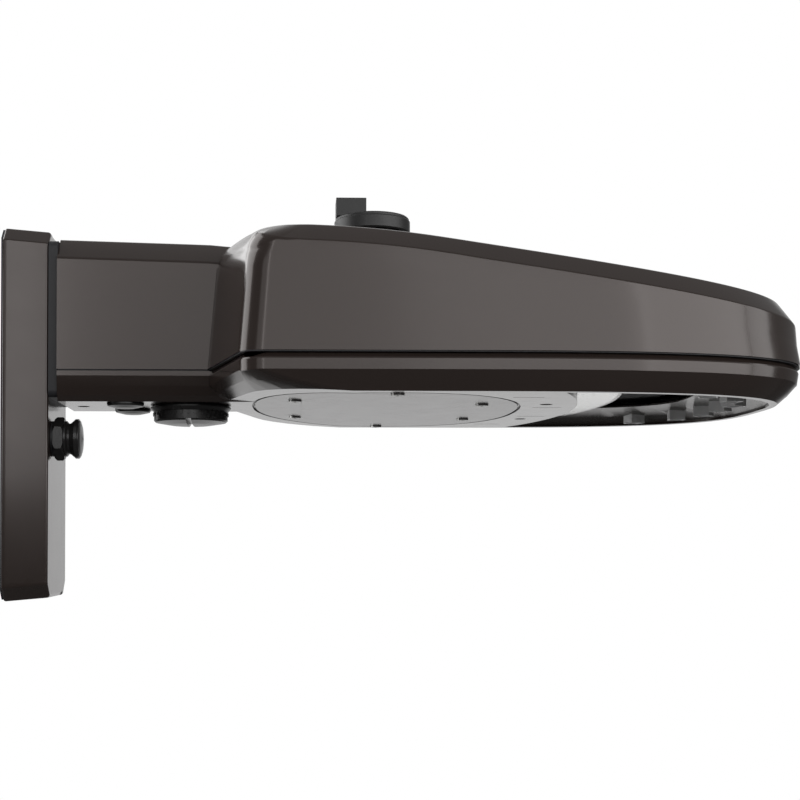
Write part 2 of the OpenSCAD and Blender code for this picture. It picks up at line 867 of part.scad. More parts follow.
// Driver: a closed case with end flanges, slung under the tray.
module led_driver() {
    color([0.85, 0.85, 0.83])
        difference() {
            union() {
                translate([222, -42, tray_z - 33])
                    cube([142, 60, 33 - tiny]);
                translate([212, -42, tray_z - 3])
                    cube([162, 60, 3]);
            }
            for (x = driver_screw_x, y = driver_screw_y)
                translate([x, y, tray_z - 7])
                    cylinder(r = 2.2, h = 10);
        }
}

module driver_screws() {
    color("gray") {
        for (x = driver_screw_x, y = driver_screw_y)
            translate([x, y, tray_z - 6])
                screw_up(3.6, 3, 1.9, 3);
        both_sides()
            for (x = tray_post_x)
                translate([x, tray_post_y, tray_z - 3])
                    screw_up(4, 3, 2 - fit_gap / 2, 10);
    }
}

// Potted surge protector with rounded ends.
module surge_protector() {
    color([0.1, 0.1, 0.12])
        translate([300, 46, tray_z - 17])
            rotate([0, 90, 0])
                linear_extrude(52)
                    rounded_square(34, 30, 8);
}

// Three-pole terminal block.
module terminal_block() {
    color([0.9, 0.89, 0.85])
        difference() {
            translate([232, 34, tray_z - 16])
                cube([22, 34, 16]);
            for (i = [0:2])
                translate([243, terminal_y + terminal_step * i, tray_z - 17]) {
                    cylinder(r = 3, h = 6);
                    translate([-12, -2.5, 5])
                        cube([24, 5, 5]);
                }
        }
}

module ground_screw() {
    color([0.2, 0.55, 0.25])
        translate(ground_place)
            rotate([90, 0, 0]) {
                cylinder(r = 4.5, h = 3, $fn = 6);
                translate([0, 0, -6])
                    cylinder(r = 2.4, h = 6 + tiny);
            }
}

// Finned block above the optics that carries heat to the upper housing.
module heat_sink() {
    base = deck_top + 6;
    color([0.1, 0.1, 0.1]) {
        translate([0, 0, base])
            linear_extrude(4)
                difference() {
                    opening_outline(rim_width + 6);
                    translate([400, -60])
                        square([40, 120]);
                }
        for (y = [-84:fin_pitch:84])
            translate([464, y - fin_thickness / 2, base - 6])
                cube([34, fin_thickness, 6 + tiny]);
        for (y = [-78:fin_pitch * 2:78])
            translate([440, y - fin_thickness / 2, base + 4 - tiny])
                cube([80, fin_thickness, 26]);
        at_optics(board_z + board_thickness)
            cylinder(r = 8, h = base + 2 - board_z - board_thickness);
    }
}

// Flat boards under the heat sink, one to each optic.
module led_boards() {
    color([0.9, 0.9, 0.88])
        at_optics(board_z)
            translate([-9, -9, 0])
                cube([18, 18, board_thickness]);
}

module led_chips() {
    color([0.95, 0.85, 0.35])
        at_optics(board_z - 1)
            rotate([0, 0, 45])
                translate([-2.5, -2.5, 0])
                    cube([5, 5, 1]);
}

// Deck round the nose, steep at the rim and then rising gently inwards, with a pocket for each optic.
module optic_deck() {
    outer = drawn_in(bottom_outline, rim_width + fit_gap);
    under = drawn_in(bottom_outline, rim_width + fit_gap + 1.2);
    bend = drawn_in(bottom_outline, deck_bend);
    inner = drawn_in(bottom_outline, rim_width + deck_width);
    bend_z = deck_low + deck_rise * deck_bend_share;
    color([0.45, 0.44, 0.43])
        difference() {
            skin([level_ring(outer, deck_low), level_ring(outer, deck_low + deck_thickness),
                level_ring(bend, bend_z + deck_thickness), level_ring(inner, deck_top)],
                [nose_start_x, 0, deck_low], [nose_start_x, 0, deck_top]);
            skin([level_ring(under, deck_low - 1), level_ring(under, deck_low), level_ring(bend, bend_z),
                level_ring(inner, deck_top - deck_thickness)],
                [nose_start_x, 0, deck_low - 1], [nose_start_x, 0, deck_top - deck_thickness]);
            linear_extrude(60)
                polygon(inner);
            translate([arc_centre_x, 0, 0])
                cylinder(r = arc_radius + fit_gap, h = 60, $fn = arc_facets);
            at_optics(0)
                rotate([0, 0, 45])
                    translate([-cup_side / 2, -cup_side / 2, 0])
                        cube([cup_side, cup_side, 40]);
        }
}

// Bright square cups that throw the light down.
module reflector_cups() {
    inner = cup_side - 1.6;
    color([0.9, 0.9, 0.92])
        at_optics(cup_rim_z)
            rotate([0, 0, 45])
                difference() {
                    translate([-cup_side / 2 + fit_gap, -cup_side / 2 + fit_gap, 0])
                        cube([cup_side - 2 * fit_gap, cup_side - 2 * fit_gap, cup_depth]);
                    translate([0, 0, -tiny])
                        linear_extrude(cup_depth + 2 * tiny, scale = 0.5)
                            square(inner, center = true);
                }
}

// Bright hammered strip along the curved wall, its front edge notched to the pitch of the fins.
module glow_strip() {
    teeth = floor(strip_half / fin_pitch);
    rear = arc_radius - 0.2;
    steps = 24;
    function on_arc(radius, y) = [arc_centre_x + sqrt(radius * radius - y * y), y];
    color([0.93, 0.93, 0.92])
        translate([0, 0, strip_z])
            linear_extrude(strip_thickness)
                polygon(concat(
                    [for (i = [0:steps]) on_arc(rear, teeth * fin_pitch * (1 - 2 * i / steps))],
                    [for (i = [-teeth:teeth - 1])
                        each [on_arc(strip_front_radius, i * fin_pitch),
                            on_arc(strip_front_radius, (i + 0.55) * fin_pitch),
                            on_arc(strip_front_radius - strip_notch, (i + 0.6) * fin_pitch),
                            on_arc(strip_front_radius - strip_notch, (i + 0.95) * fin_pitch)]],
                    [on_arc(strip_front_radius, teeth * fin_pitch)]));
}

module at_control() {
    translate([control_x, 0, pad_top])
        children();
}

module socket_gasket() {
    color([0.05, 0.05, 0.05])
        at_control()
            difference() {
                cylinder(r = control_radius + 1, h = 2);
                translate([0, 0, -1])
                    cylinder(r = 20, h = 4);
            }
}

// Fixed ring that holds the turning socket.
module socket_ring() {
    color([0.1, 0.1, 0.1])
        at_control()
            translate([0, 0, 2])
                rotate_extrude()
                    polygon([[17.5, 0], [control_radius, 0], [control_radius, 4], [24, 8.5], [17.5, 8.5]]);
}

// Socket that turns in the ring, so that the control can be aimed.
module control_socket() {
    color([0.15, 0.15, 0.16])
        at_control()
            difference() {
                union() {
                    translate([0, 0, -6])
                        cylinder(r = 19.5, h = 7.5);
                    translate([0, 0, -6])
                        cylinder(r = 17.2, h = 17);
                }
                for (turn = [0, 120, 240])
                    rotate([0, 0, turn])
                        translate([9, -4.5, 0])
                            cube([2.4, 9, 12]);
            }
}

module control_blades() {
    color([0.8, 0.65, 0.3])
        at_control()
            for (turn = [0, 120, 240])
                rotate([0, 0, turn])
                    translate([9.3, -4, 2])
                        cube([1.8, 8, 9.3]);
}

// Flat round photocontrol.
module control_disc() {
    color([0.13, 0.13, 0.13])
        at_control()
            translate([0, 0, 12])
                rotate_extrude()
                    polygon([[0, -0.7], [control_radius - 5, -0.7], [control_radius - 5, 0],
                        [control_radius - 1, 0], [control_radius, 1],
                        [control_radius, control_thickness - 3], [control_radius - 0.8, control_thickness - 2.2],
                        [control_radius - 0.8, control_thickness - 1], [control_radius - 1.8, control_thickness],
                        [0, control_thickness]]);
}

// Upright block with the light window.
module control_block() {
    color([0.16, 0.16, 0.16])
        translate([control_x - 27.4, -block_width / 2, control_top])
            cube([block_width, block_width, block_height]);
}

// Big plug with a coin slot, screwed into the underside of the arm.
module access_plug() {
    color([0.09, 0.08, 0.08])
        translate([plug_x, 0, arm_bottom])
            difference() {
                union() {
                    rotate_extrude()
                        polygon([[0, 14], [plug_radius - 3.5, 14], [plug_radius - 3.5, -0.9],
                            [plug_flange_radius, -0.9], [plug_flange_radius, -1.8],
                            [plug_radius, -4.6], [plug_radius, -plug_drop + 1.2],
                            [plug_radius - 1.2, -plug_drop], [plug_radius * 0.55, -plug_drop - 1.9],
                            [0, -plug_drop - 2.6]]);
                    for (i = [0:35])
                        rotate([0, 0, i * 10])
                            translate([plug_radius - 0.5, -0.9, -7.4])
                                cube([1.2, 1.8, 2.4]);
                }
                translate([-2, -plug_radius - 1, -plug_drop - 3])
                    cube([4, 2 * plug_radius + 2, 4.1]);
            }
}

module plug_ring() {
    color([0.05, 0.05, 0.05])
        translate([plug_x, 0, arm_bottom - 0.9])
            difference() {
                cylinder(r = plug_flange_radius - 1.5, h = 0.9 - tiny);
                translate([0, 0, -1])
                    cylinder(r = plug_radius - 3.2, h = 3);
            }
}

// Two domed plugs side by side.
module small_plugs() {
    color([0.09, 0.08, 0.08])
        for (sy = [-1, 1])
            translate([small_plug_x, sy * small_plug_y, arm_bottom])
                rotate_extrude()
                    polygon([[0, 8], [small_plug_radius - 3.3, 8], [small_plug_radius - 3.3, -0.02],
                        [small_plug_radius, -0.02], [small_plug_radius, -1.2],
                        [small_plug_radius - 0.8, -2.2], [small_plug_radius * 0.5, -3.6], [0, -4]]);
}

// A straight piece of wire, started a little early so that it joins the piece before it.
module wire(first, last) {
    way = last - first;
    translate(first - way / norm(way))
        rotate([0, acos(way[2] / norm(way)), atan2(way[1], way[0])])
            cylinder(r = wire_radius, h = norm(way) + 1);
}

// Three supply wires from the wall plate through the arm to the terminal block.
module supply_wires() {
    bundle = [[7, -4.5], [11, -4.5], [9, -0.5]];
    for (i = [0:2]) {
        start = [14, bundle[i][0], wire_hole_z + bundle[i][1]];
        bend = [196, bundle[i][0], wire_hole_z + bundle[i][1]];
        last_bend = [224, terminal_y + terminal_step * i, tray_z - 9.5];
        color([0.1, 0.1, 0.1]) {
            wire(start, bend);
            wire(bend, last_bend);
            wire(last_bend, last_bend + [14, 0, 0]);
        }
    }
}

wall_gasket();
back_plate();
wall_plate();
cover_screws();
eye_washer();
eye_nut();
eye_body();
eye_lens();
neck_packing();
arm_bolts();
upper_housing();
lower_frame();
housing_seal();
frame_screws();
service_door();
door_gasket();
door_screws();
gear_tray();
led_driver();
driver_screws();
surge_protector();
terminal_block();
ground_screw();
heat_sink();
led_boards();
led_chips();
optic_deck();
reflector_cups();
glow_strip();
socket_gasket();
socket_ring();
control_socket();
control_blades();
control_disc();
control_block();
access_plug();
plug_ring();
small_plugs();
supply_wires();
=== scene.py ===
"""Looks of a wall pack light on an arm: fine castings, paint, plastics and bright optics on the frame.

Sizes are in millimetres in the row's frame, as in the part's source, and become metres in the meshes."""

import json
import math

import bmesh
import bpy
import numpy as np
from mathutils import Matrix, Vector


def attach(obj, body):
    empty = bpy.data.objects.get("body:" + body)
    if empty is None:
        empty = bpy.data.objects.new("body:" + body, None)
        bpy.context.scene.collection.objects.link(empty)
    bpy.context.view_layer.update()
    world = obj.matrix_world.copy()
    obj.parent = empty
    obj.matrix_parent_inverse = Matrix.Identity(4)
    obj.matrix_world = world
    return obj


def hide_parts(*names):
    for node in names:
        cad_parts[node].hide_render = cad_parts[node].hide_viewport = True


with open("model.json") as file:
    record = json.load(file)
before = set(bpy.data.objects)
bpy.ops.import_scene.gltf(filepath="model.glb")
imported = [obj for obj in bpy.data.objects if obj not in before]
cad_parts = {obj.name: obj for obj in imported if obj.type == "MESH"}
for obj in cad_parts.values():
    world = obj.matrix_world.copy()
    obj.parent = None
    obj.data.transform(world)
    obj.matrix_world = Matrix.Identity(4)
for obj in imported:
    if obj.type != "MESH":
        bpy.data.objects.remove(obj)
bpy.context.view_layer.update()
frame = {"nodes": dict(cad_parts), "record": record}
nodes = frame["nodes"]
MM = 0.001

# How far the skins that cut a solid and the bars that fill it reach beyond it, and how far the bars
# stay off the gasket
BEYOND = 1
OFF_GASKET = 0.01

# Driving sizes, the same as in the part's source
ARM_HALF = 44
ARM_TOP = 128
ARM_FALL = 3
ARM_BEVEL = 16
ARM_BLEND = 0.06
ARM_BOTTOM = 8.8
NECK_X = 41
SHOULDER_X = 149
REAR_CORNER_X = 178
HEAD_HALF = 150
NOSE_START_X = 330
NOSE_TIP_X = 579
NOSE_POWER = 3
NOSE_DROP = 0.4
SEAM_BOTTOM = 30.5
SEAM_TOP = 31.5
HEAD_BOTTOM = 5.5
CREST_Z = 115.3
TOP_SLOPE = 0.148
SLOPE_START_X = 200
SLOPE_FULL_X = 310
CROWN = 8
BAND_HEIGHT = 11
CASTING_WALL = 3.5
CONTROL_X = 270
CONTROL_RADIUS = 28.5
PAD_TOP = 127
PLATE_HALF = 40
PLATE_DEPTH = 34.5
GASKET = 1.5
REAR_ROOM = NOSE_START_X - SHOULDER_X
FRONT_ROOM = NOSE_TIP_X - NOSE_START_X

# Underside's outline, as in the part's source: how far its rear, corners, sides and tip lie inside the
# seam's, and the radius of its corners
BOTTOM_REAR = 16.4
BOTTOM_CORNER = 16.5
BOTTOM_SIDE = 5
BOTTOM_TIP = 14
BOTTOM_RADIUS = 65

# Upper casting, finer than in the solids: corners at the seam and at the top, roll towards the rear
# corners, lean and rounded edge of the rear
CORNER_INSET = 1
CORNER_RADIUS = 20
TOP_CORNER_RADIUS = 42
TOP_BLEND = 12
ROLL_START_X = 205
ROLL_RADIUS = 45
ROLL_POWER = 7
REAR_LEAN = 4.8
LEAN_WIDTH = 3
REAR_ROUND = 19
REAR_ROUND_X = 206
REAR_FURTHER = 6

# Head's edge as distances in and drops: top of the side, foot and head of the bevel band, level top.
# Radii at the band's foot and head.
SIDE_INSET = 2.4
BAND_CORNERS = [(SIDE_INSET, 22), (3.3, BAND_HEIGHT * 1.05), (14.4, 0.4), (30, 0)]
BAND_RADII = [2.2, 3.5]
# Distances in of the rings over the top, number of rings up the side, and every how many rows of the edge
# the inside has one
CAP_INSETS = (50, 70, 90, 110, 128, 140)
SIDE_RINGS = 8
INNER_RING_STEP = 3

# Upper casting's arm: rounding of its bevels, how far it reaches into the head, how thick its end at
# the neck is, and how much less the inner bevel is for each millimetre of wall
ARM_ROUNDING = 4
ARM_REACH = 42
ARM_END_WALL = 8
INNER_BEVEL_SHARE = 0.4

# Pad under the photocontrol: radius and depth of its hole, how far its top and its foot reach beyond the
# photocontrol, how deep the foot lies, roundings of its upper edges
PAD_HOLE = 20
PAD_HOLE_DEPTH = 20
PAD_MARGIN = 4
PAD_FLARE = 8
PAD_FOOT = 30
PAD_RADII = [0.5, 1.5]

# Lower casting: groove under the seam, height of the skirt's turn, how far the nose is drawn back and
# over what depth, distances in of the skirt, of its turn and of the underside
GROOVE = 2.6
TURN_Z = 18.9
NOSE_TUCK = 2.0
TUCK_DEPTH = 11
SKIRT_INSET = 0.9
TURN_INSET = 1.1
BOTTOM_INSET = 0.6
# Rings of the skirt: distance in, height, share of the underside's outline
SKIRT_RINGS = (
    (SKIRT_INSET + GROOVE + 1.1, SEAM_BOTTOM + BEYOND, 0),
    (SKIRT_INSET + GROOVE, SEAM_BOTTOM - 0.3, 0),
    (SKIRT_INSET + 0.8, SEAM_BOTTOM - 2.6, 0),
    (SKIRT_INSET + 0.3, SEAM_BOTTOM - 3.3, 0),
    (SKIRT_INSET, SEAM_BOTTOM - 4.2, 0),
    (SKIRT_INSET, SEAM_BOTTOM - 5, 0),
    (SKIRT_INSET, TURN_Z + 0.4, 0),
    (0.95, TURN_Z, 0),
    (TURN_INSET, TURN_Z - 0.4, 0.03),
    (TURN_INSET, 12, 0.47),
    (TURN_INSET, HEAD_BOTTOM + 0.5, 1),
    (TURN_INSET, HEAD_BOTTOM - BEYOND, 1.12))
# Side of the lower arm: distances in and heights, and the x places of its ends
LOWER_ARM = ((0.6, SEAM_BOTTOM + BEYOND), (0.6, 27), (1.4, 19.6), (2.6, 13), (7, ARM_BOTTOM - BEYOND))
LOWER_ARM_ENDS = (NECK_X - BEYOND, SHOULDER_X + 60)

# Wall plate: half height, draft, corners cut across and their easing, rounding of the front edge,
# distances in of its sides and its front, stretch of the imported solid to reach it, bars in its corners
PLATE_HIGH = 136
PLATE_DRAFT = 3
PLATE_CUT = 10
PLATE_EASING = [2, 2]
PLATE_EDGE = 2
PLATE_INSET = 0.2
PLATE_FRONT_INSET = 0.1
PLATE_STRETCH = 1.013
CORNER_BAR = 16
# Wall gasket: distance in, and the x places of its skin's ends
GASKET_INSET = 0.8
GASKET_SKIN = (-BEYOND, 4)
# Rings at the plate's back: distance from the wall, distance in
PLATE_BACK = ((-BEYOND, 1), (GASKET, GASKET_INSET), (GASKET + 0.4, 0.5), (GASKET + 1.3, PLATE_INSET),
    (GASKET + 3, PLATE_INSET))

# Optics: deck pressed flatter above its lowest level, cups drawn down from their highest one
DECK_LOW = 7.5
DECK_SHARE = 0.7
CUPS_HIGH = 21.7
CUPS_SHARE = 1.29

# Steps of curves and numbers of rings
ARC_STEPS = 16
SIDE_STEPS = 10
NOSE_STEPS = 60
SHOULDER_STEPS = 7
BAND_STEPS = 6
BEVEL_STEPS = 5
PAD_STEPS = 4
EASING_STEPS = 3
PLATE_EDGE_RINGS = 7
ARM_RINGS = 12
INNER_ARM_RINGS = 6
AROUND = 96

# Edges: angles in degrees above which they stay sharp, stay sharp on the lower casting, or are rounded,
# and the rounding. Points closer than the merge distance, in metres, become one.
SHARP_ANGLE = 30
CASTING_SHARP = 12
ROUNDED_ANGLE = 40
EDGE_ROUNDING = 0.3
MERGE_DISTANCE = 1e-6

# Camera: place in metres, turns in degrees, lens and sensor in millimetres, shifts as shares of the
# frame's width, nearest distance seen in metres
CAMERA_PLACE = (0.2119, -1.05, -0.0935)
CAMERA_YAW = 1.6
CAMERA_PITCH = 1.2
CAMERA_LENS = 63
CAMERA_SENSOR = 36
CAMERA_SHIFT = (0.0825, 0.1425)
CAMERA_NEAR = 0.01

# Soft panels round the object: name, place x and y, turn from facing it squarely from the front, lower
# and upper edge, width and brightness
PANELS = (
    ("panel left", -0.52, -2.60, 0, 0.045, 1.5, 0.24, 2.9),
    ("panel middle", 0.03, -2.60, 0, 0.06, 1.5, 0.85, 1.15),
    ("panel right", 1.18, -2.60, 0, 0.06, 1.5, 1.45, 1.9),
    ("panel far right", 2.42, -1.74, 50, 0.04, 1.5, 2.0, 2.7),
    ("panel end", 3.10, -0.45, 90, 0.0, 1.5, 0.9, 2.0),
    ("panel far left", -0.81, 0.21, -115, -0.5, 1.5, 0.95, 2.4),
    ("panel back left", -1.35, 1.75, -138, 0.7, 1.9, 1.3, 2.0),
    ("panel left end", -1.29, -2.60, 0, 0.06, 1.5, 1.22, 0.7))

# Brightness of the dim studio by height, from straight down at 0 to straight up at 1
ROOM_STOPS = ((0.0, 0.05), (0.46, 0.05), (0.53, 0.13), (0.75, 0.2), (1.0, 0.33))
# Share of the white backdrop that gloss sees: by turn, with 0.5 straight behind the object, and by height
BEHIND_STOPS = ((0.0, 0.0), (0.42, 0.0), (0.44, 0.85), (0.55, 0.85), (0.6, 0.0), (1.0, 0.0))
HEIGHT_STOPS = ((0.0, 0.0), (0.18, 0.0), (0.25, 0.8), (0.5, 0.9), (0.55, 1.0), (0.85, 1.0), (0.95, 0.1),
    (1.0, 0.0))

# Floor: middle, half size, reach behind and height in metres, tone, and glow for the camera alone
FLOOR_X = 0.3
FLOOR_HALF = 1.6
FLOOR_BACK = 0.7
FLOOR_Z = -0.6
FLOOR_TONE = 0.15
FLOOR_GLOW = 0.6

# Finishes


class Wire:
    """A value on a surface. Sums and products with it add Math nodes to its finish."""

    def __init__(self, finish, socket):
        """Keeps the finish and the socket that the value comes from."""
        self.finish = finish
        self.socket = socket

    def _math(self, operation, other):
        """The value and another one, put through a Math node."""
        return self.finish.node("ShaderNodeMath", {"operation": operation}, {0: self, 1: other})

    def __add__(self, other):
        """Sum."""
        return self._math("ADD", other)

    __radd__ = __add__

    def __sub__(self, other):
        """Difference."""
        return self._math("SUBTRACT", other)

    def __mul__(self, other):
        """Product."""
        return self._math("MULTIPLY", other)


class Finish:
    """A material made of nodes."""

    def __init__(self, name):
        """Starts an empty material."""
        self.material = bpy.data.materials.new(name)
        self.material.use_nodes = True
        self.tree = self.material.node_tree
        self.tree.nodes.clear()

    def node(self, kind, settings=None, inputs=None, output=0):
        """Adds a node: its settings first, then the values or links of its sockets."""
        node = self.tree.nodes.new(kind)
        for key, value in (settings or {}).items():
            if key == "stops":
                self._ramp(node.color_ramp, value)
            else:
                setattr(node, key, value)
        for key, value in (inputs or {}).items():
            if isinstance(value, Wire):
                self.tree.links.new(value.socket, node.inputs[key])
            else:
                node.inputs[key].default_value = value
        return Wire(self, node.outputs[output]) if node.outputs else None

    def _ramp(self, ramp, stops):
        """Sets a colour ramp to grey stops of place and level."""
        while len(ramp.elements) < len(stops):
            ramp.elements.new(0.5)
        for element, (place, grey) in zip(ramp.elements, stops):
            element.position = place
            element.color = (grey, grey, grey, 1)

    def place(self):
        """Place on the object, in metres."""
        return self.node("ShaderNodeTexCoord", output="Object")

    def noise(self, place, scale, detail, roughness=0.5):
        """Smooth noise from 0 to 1."""
        return self.node("ShaderNodeTexNoise", {"noise_dimensions": "3D"},
            {"Vector": place, "Scale": scale, "Detail": detail, "Roughness": roughness})

    def steps(self, value, stops):
        """A value remapped through grey stops."""
        return self.node("ShaderNodeValToRGB", {"stops": stops}, {0: value})

    def blend(self, share, first, second):
        """A colour between two, by a share from 0 to 1."""
        return self.node("ShaderNodeMix", {"data_type": "RGBA"},
            {0: share, 6: (*first, 1), 7: (*second, 1)}, output=2)

    def bump(self, height, distance, strength):
        """Normal of a surface raised by a height times a distance."""
        return self.node("ShaderNodeBump", None,
            {"Height": height, "Distance": distance, "Strength": strength})

    def surface(self, **inputs):
        """Ends the material in a Principled surface with these values."""
        names = {key.replace("_", " ").title(): value for key, value in inputs.items()}
        shader = self.node("ShaderNodeBsdfPrincipled", None, names)
        self.node("ShaderNodeOutputMaterial", None, {"Surface": shader})
        return self.material


def powder_coat(name, colour, roughness, tone_change=0.12):
    """Baked powder paint: fine pebbled skin, slow drift of tone, slightly uneven gloss."""
    finish = Finish(name)
    place = finish.place()
    drift = finish.noise(place, scale=7, detail=3)
    pebbles = finish.noise(place, scale=1100, detail=2)
    cloud = finish.noise(place, scale=60, detail=3)
    dark = [c * (1 - tone_change) for c in colour]
    light = [c * (1 + tone_change) for c in colour]
    return finish.surface(
        base_color=finish.blend(drift * 0.7 + pebbles * 0.3, dark, light),
        roughness=roughness + (cloud - 0.5) * 0.06 + (pebbles - 0.5) * 0.06,
        specular_tint=(1, 0.91, 0.88, 1),
        coat_weight=0.25,
        coat_roughness=0.11,
        normal=finish.bump(pebbles, distance=0.00003, strength=0.35))


def moulded(name, colour, roughness):
    """Moulded plastic or rubber with a fine matte texture."""
    finish = Finish(name)
    place = finish.place()
    drift = finish.noise(place, scale=15, detail=3)
    texture = finish.noise(place, scale=1500, detail=2)
    dark = [c * 0.85 for c in colour]
    light = [min(1, c * 1.15) for c in colour]
    return finish.surface(
        base_color=finish.blend(drift, dark, light),
        roughness=roughness + (drift - 0.5) * 0.12,
        normal=finish.bump(texture, distance=0.00004, strength=0.5))


def plain_metal(name, colour, roughness, scratches=0.1, metallic=1.0):
    """Plated or anodised metal with fine uneven rubbing."""
    finish = Finish(name)
    place = finish.place()
    drift = finish.noise(place, scale=40, detail=4, roughness=0.6)
    rubbed = finish.noise(place, scale=700, detail=3, roughness=0.7)
    dark = [c * 0.85 for c in colour]
    light = [min(1, c * 1.1) for c in colour]
    return finish.surface(
        base_color=finish.blend(drift, dark, light),
        metallic=metallic,
        roughness=roughness + (rubbed - 0.5) * scratches + (drift - 0.5) * 0.1,
        normal=finish.bump(rubbed, distance=0.00001, strength=0.3))


def hammered(name, colour, roughness):
    """Bright sheet with a close hammered texture of shallow dimples."""
    finish = Finish(name)
    place = finish.place()
    drift = finish.noise(place, scale=40, detail=3)
    dimples = finish.node("ShaderNodeTexVoronoi", {"feature": "SMOOTH_F1"},
        {"Vector": place, "Scale": 380, "Smoothness": 0.6}, output="Distance")
    return finish.surface(
        base_color=finish.blend(dimples, [c * 0.9 for c in colour], colour),
        metallic=1.0,
        roughness=roughness + (drift - 0.5) * 0.08,
        normal=finish.bump(dimples, distance=0.0004, strength=0.7))


PAINT = (0.029, 0.0208, 0.018)
finishes = {
    "bronze_paint": powder_coat("bronze paint", PAINT, 0.19),
    "door_paint": powder_coat("door paint", PAINT, 0.26),
    "deck_paint": powder_coat("deck paint", (0.05, 0.044, 0.04), 0.28),
    "zinc_steel": plain_metal("zinc steel", (0.5, 0.5, 0.49), 0.35),
    "seals": moulded("seal rubber", (0.021, 0.021, 0.024), 0.5),
    "black_plastic": moulded("black plastic", (0.018, 0.017, 0.017), 0.28),
    "control_plastic": moulded("charcoal plastic", (0.021, 0.021, 0.021), 0.4),
    "pale_plastic": moulded("pale plastic", (0.6, 0.57, 0.5), 0.4),
    "driver_case": powder_coat("white case", (0.6, 0.6, 0.58), 0.4, tone_change=0.05),
    "dark_aluminium": plain_metal("dark aluminium", (0.04, 0.04, 0.042), 0.45),
    "board": moulded("white board", (0.7, 0.7, 0.68), 0.4),
    "chips": moulded("chip yellow", (0.75, 0.55, 0.12), 0.35),
    # The cups are mirror-bright chrome reflectors. Their near-white, hardly metallic colour is painted
    # reflection: it stands in for the light that their mirror faces catch.
    "bright_chrome": plain_metal("cups painted white for reflection", (0.95, 0.95, 0.95), 0.2, scratches=0.03, metallic=0.15),
    "bright_aluminium": hammered("hammered strip", (0.97, 0.97, 0.96), 0.22),
    "contact_brass": plain_metal("contact brass", (0.55, 0.4, 0.15), 0.3),
    "wire_cover": moulded("wire cover", (0.02, 0.02, 0.02), 0.45),
}

# Meshes


def add_piece(name, mesh, slot, replaced=(), sharp=SHARP_ANGLE):
    """Puts a mesh in the scene as a piece of the lamp: smooth but for edges above a sharp angle, with its
    finish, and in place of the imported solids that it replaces."""
    mesh.polygons.foreach_set("use_smooth", [True] * len(mesh.polygons))
    mesh.set_sharp_from_angle(angle=math.radians(sharp))
    mesh.materials.clear()
    mesh.materials.append(finishes[slot])
    piece = bpy.data.objects.new(name, mesh)
    bpy.context.scene.collection.objects.link(piece)
    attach(piece, "lamp")
    if replaced:
        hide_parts(*replaced)
    return piece


def painted_piece(name, points, faces, replaced=()):
    """A painted piece from points in millimetres, its doubles merged and its faces turned outwards."""
    mesh = bpy.data.meshes.new(name)
    mesh.from_pydata((np.asarray(points, float) * MM).tolist(), [], [list(map(int, f)) for f in faces])
    work = bmesh.new()
    work.from_mesh(mesh)
    bmesh.ops.remove_doubles(work, verts=work.verts, dist=MERGE_DISTANCE)
    bmesh.ops.recalc_face_normals(work, faces=work.faces)
    work.to_mesh(mesh)
    work.free()
    add_piece(name, mesh, "bronze_paint", replaced)


def ring_stack(rings):
    """Points and faces of a closed skin through rings (count, around, 3), capped at both ends."""
    rings = np.asarray(rings, float)
    count, around, _ = rings.shape
    points = np.concatenate([rings.reshape(-1, 3), rings[:1].mean(1), rings[-1:].mean(1)])
    row = np.arange(count - 1)[:, None] * around
    here = np.arange(around)[None, :]
    after = (here + 1) % around
    quads = np.stack([row + here, row + after, row + around + after, row + around + here], -1)
    last = (count - 1) * around
    first_fan = [[count * around, int(a), int(b)] for a, b in zip(after[0], here[0])]
    last_fan = [[count * around + 1, last + int(b), last + int(a)] for a, b in zip(after[0], here[0])]
    return points, quads.reshape(-1, 4).tolist() + first_fan + last_fan


def rounding(before, corner, after, radius, steps):
    """Arc of the radius that touches both lines through the corner, from the first line to the last."""
    before, corner, after = (np.asarray(p, float) for p in (before, corner, after))
    u = (before - corner) / np.linalg.norm(before - corner)
    v = (after - corner) / np.linalg.norm(after - corner)
    half_angle = math.acos(float(np.clip(u @ v, -1, 1))) / 2
    centre = corner + (u + v) / np.linalg.norm(u + v) * radius / math.sin(half_angle)
    first = corner + u * radius / math.tan(half_angle) - centre
    last = corner + v * radius / math.tan(half_angle) - centre
    start = math.atan2(first[1], first[0])
    turn = (math.atan2(last[1], last[0]) - start + 3 * math.pi) % (2 * math.pi) - math.pi
    angle = start + turn * np.linspace(0, 1, steps + 1)
    return centre + radius * np.stack([np.cos(angle), np.sin(angle)], -1)


def rounded_path(corners, radii, steps):
    """Open path from the first corner to the last, with every corner between rounded by its radius."""
    parts = [np.array([corners[0]], float)]
    for k, radius in enumerate(radii):
        parts.append(rounding(corners[k], corners[k + 1], corners[k + 2], radius, steps))
    parts.append(np.array([corners[-1]], float))
    return np.concatenate(parts)


def at_x(x, section):
    """Section of points (y, z) stood up at a place along the lamp."""
    return np.concatenate([np.full((len(section), 1), float(x)), section], 1)


def half_outline(rear_x, corner, corner_radius, tip_x, half):
    """Half of the head's outline: rear middle, shoulder, rounded corner, side, and a nose whose
    x and y are the cosine and sine of an even angle, each to the power 2 / NOSE_POWER."""
    shoulder = np.array([rear_x, ARM_HALF], float)
    start = np.array([NOSE_START_X, half], float)
    bend = rounding(shoulder, corner, start, corner_radius, ARC_STEPS)
    angle = np.linspace(np.pi / 2, 0, NOSE_STEPS + 1)
    curve = np.stack([
        NOSE_START_X + (tip_x - NOSE_START_X) * np.abs(np.cos(angle)) ** (2 / NOSE_POWER),
        half * np.abs(np.sin(angle)) ** (2 / NOSE_POWER)], -1)
    return np.concatenate([
        np.array([[rear_x, 0], [rear_x, ARM_HALF / 2]], float),
        shoulder + (bend[0] - shoulder) * np.linspace(0, 1, SHOULDER_STEPS + 1)[:-1, None],
        bend,
        bend[-1] + (start - bend[-1]) * np.linspace(0, 1, SIDE_STEPS + 1)[1:-1, None],
        curve])


